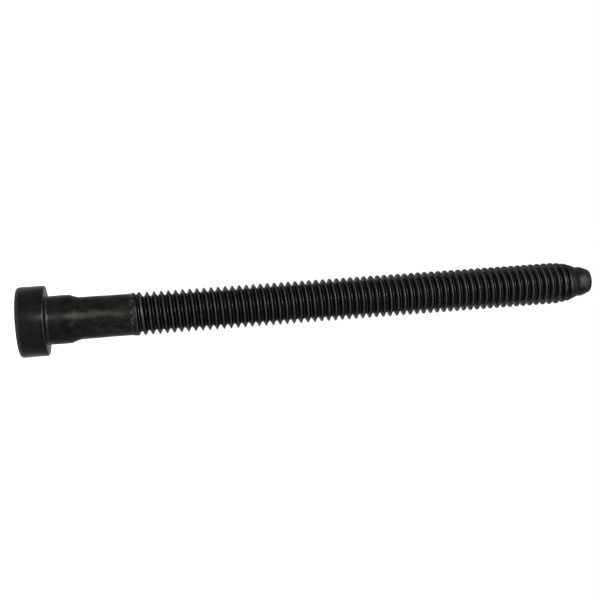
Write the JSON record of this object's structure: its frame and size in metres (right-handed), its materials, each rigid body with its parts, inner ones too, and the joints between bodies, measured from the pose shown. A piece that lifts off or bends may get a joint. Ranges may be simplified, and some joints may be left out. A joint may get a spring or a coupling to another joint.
{
  "type": "cylinder head bolt",
  "caption": "Long steel cylinder head bolt with a round head, internal twelve-point drive, guide collar, short plain shank, long right-hand thread and a dog point.",
  "frame": {"origin": "centre of the head's flat top face, which is the face the bolt stands on", "axes": "+Z along the bolt's axis, from the head towards the dog point; X and Y lie in the head's top face"},
  "size_m": [0.0178, 0.0178, 0.1496],
  "materials": {
    "black_steel": "black oxide, satin, lightly oiled"
  },
  "bodies": {
    "root": {"bolt": "black_steel"}
  },
  "joints": []
}
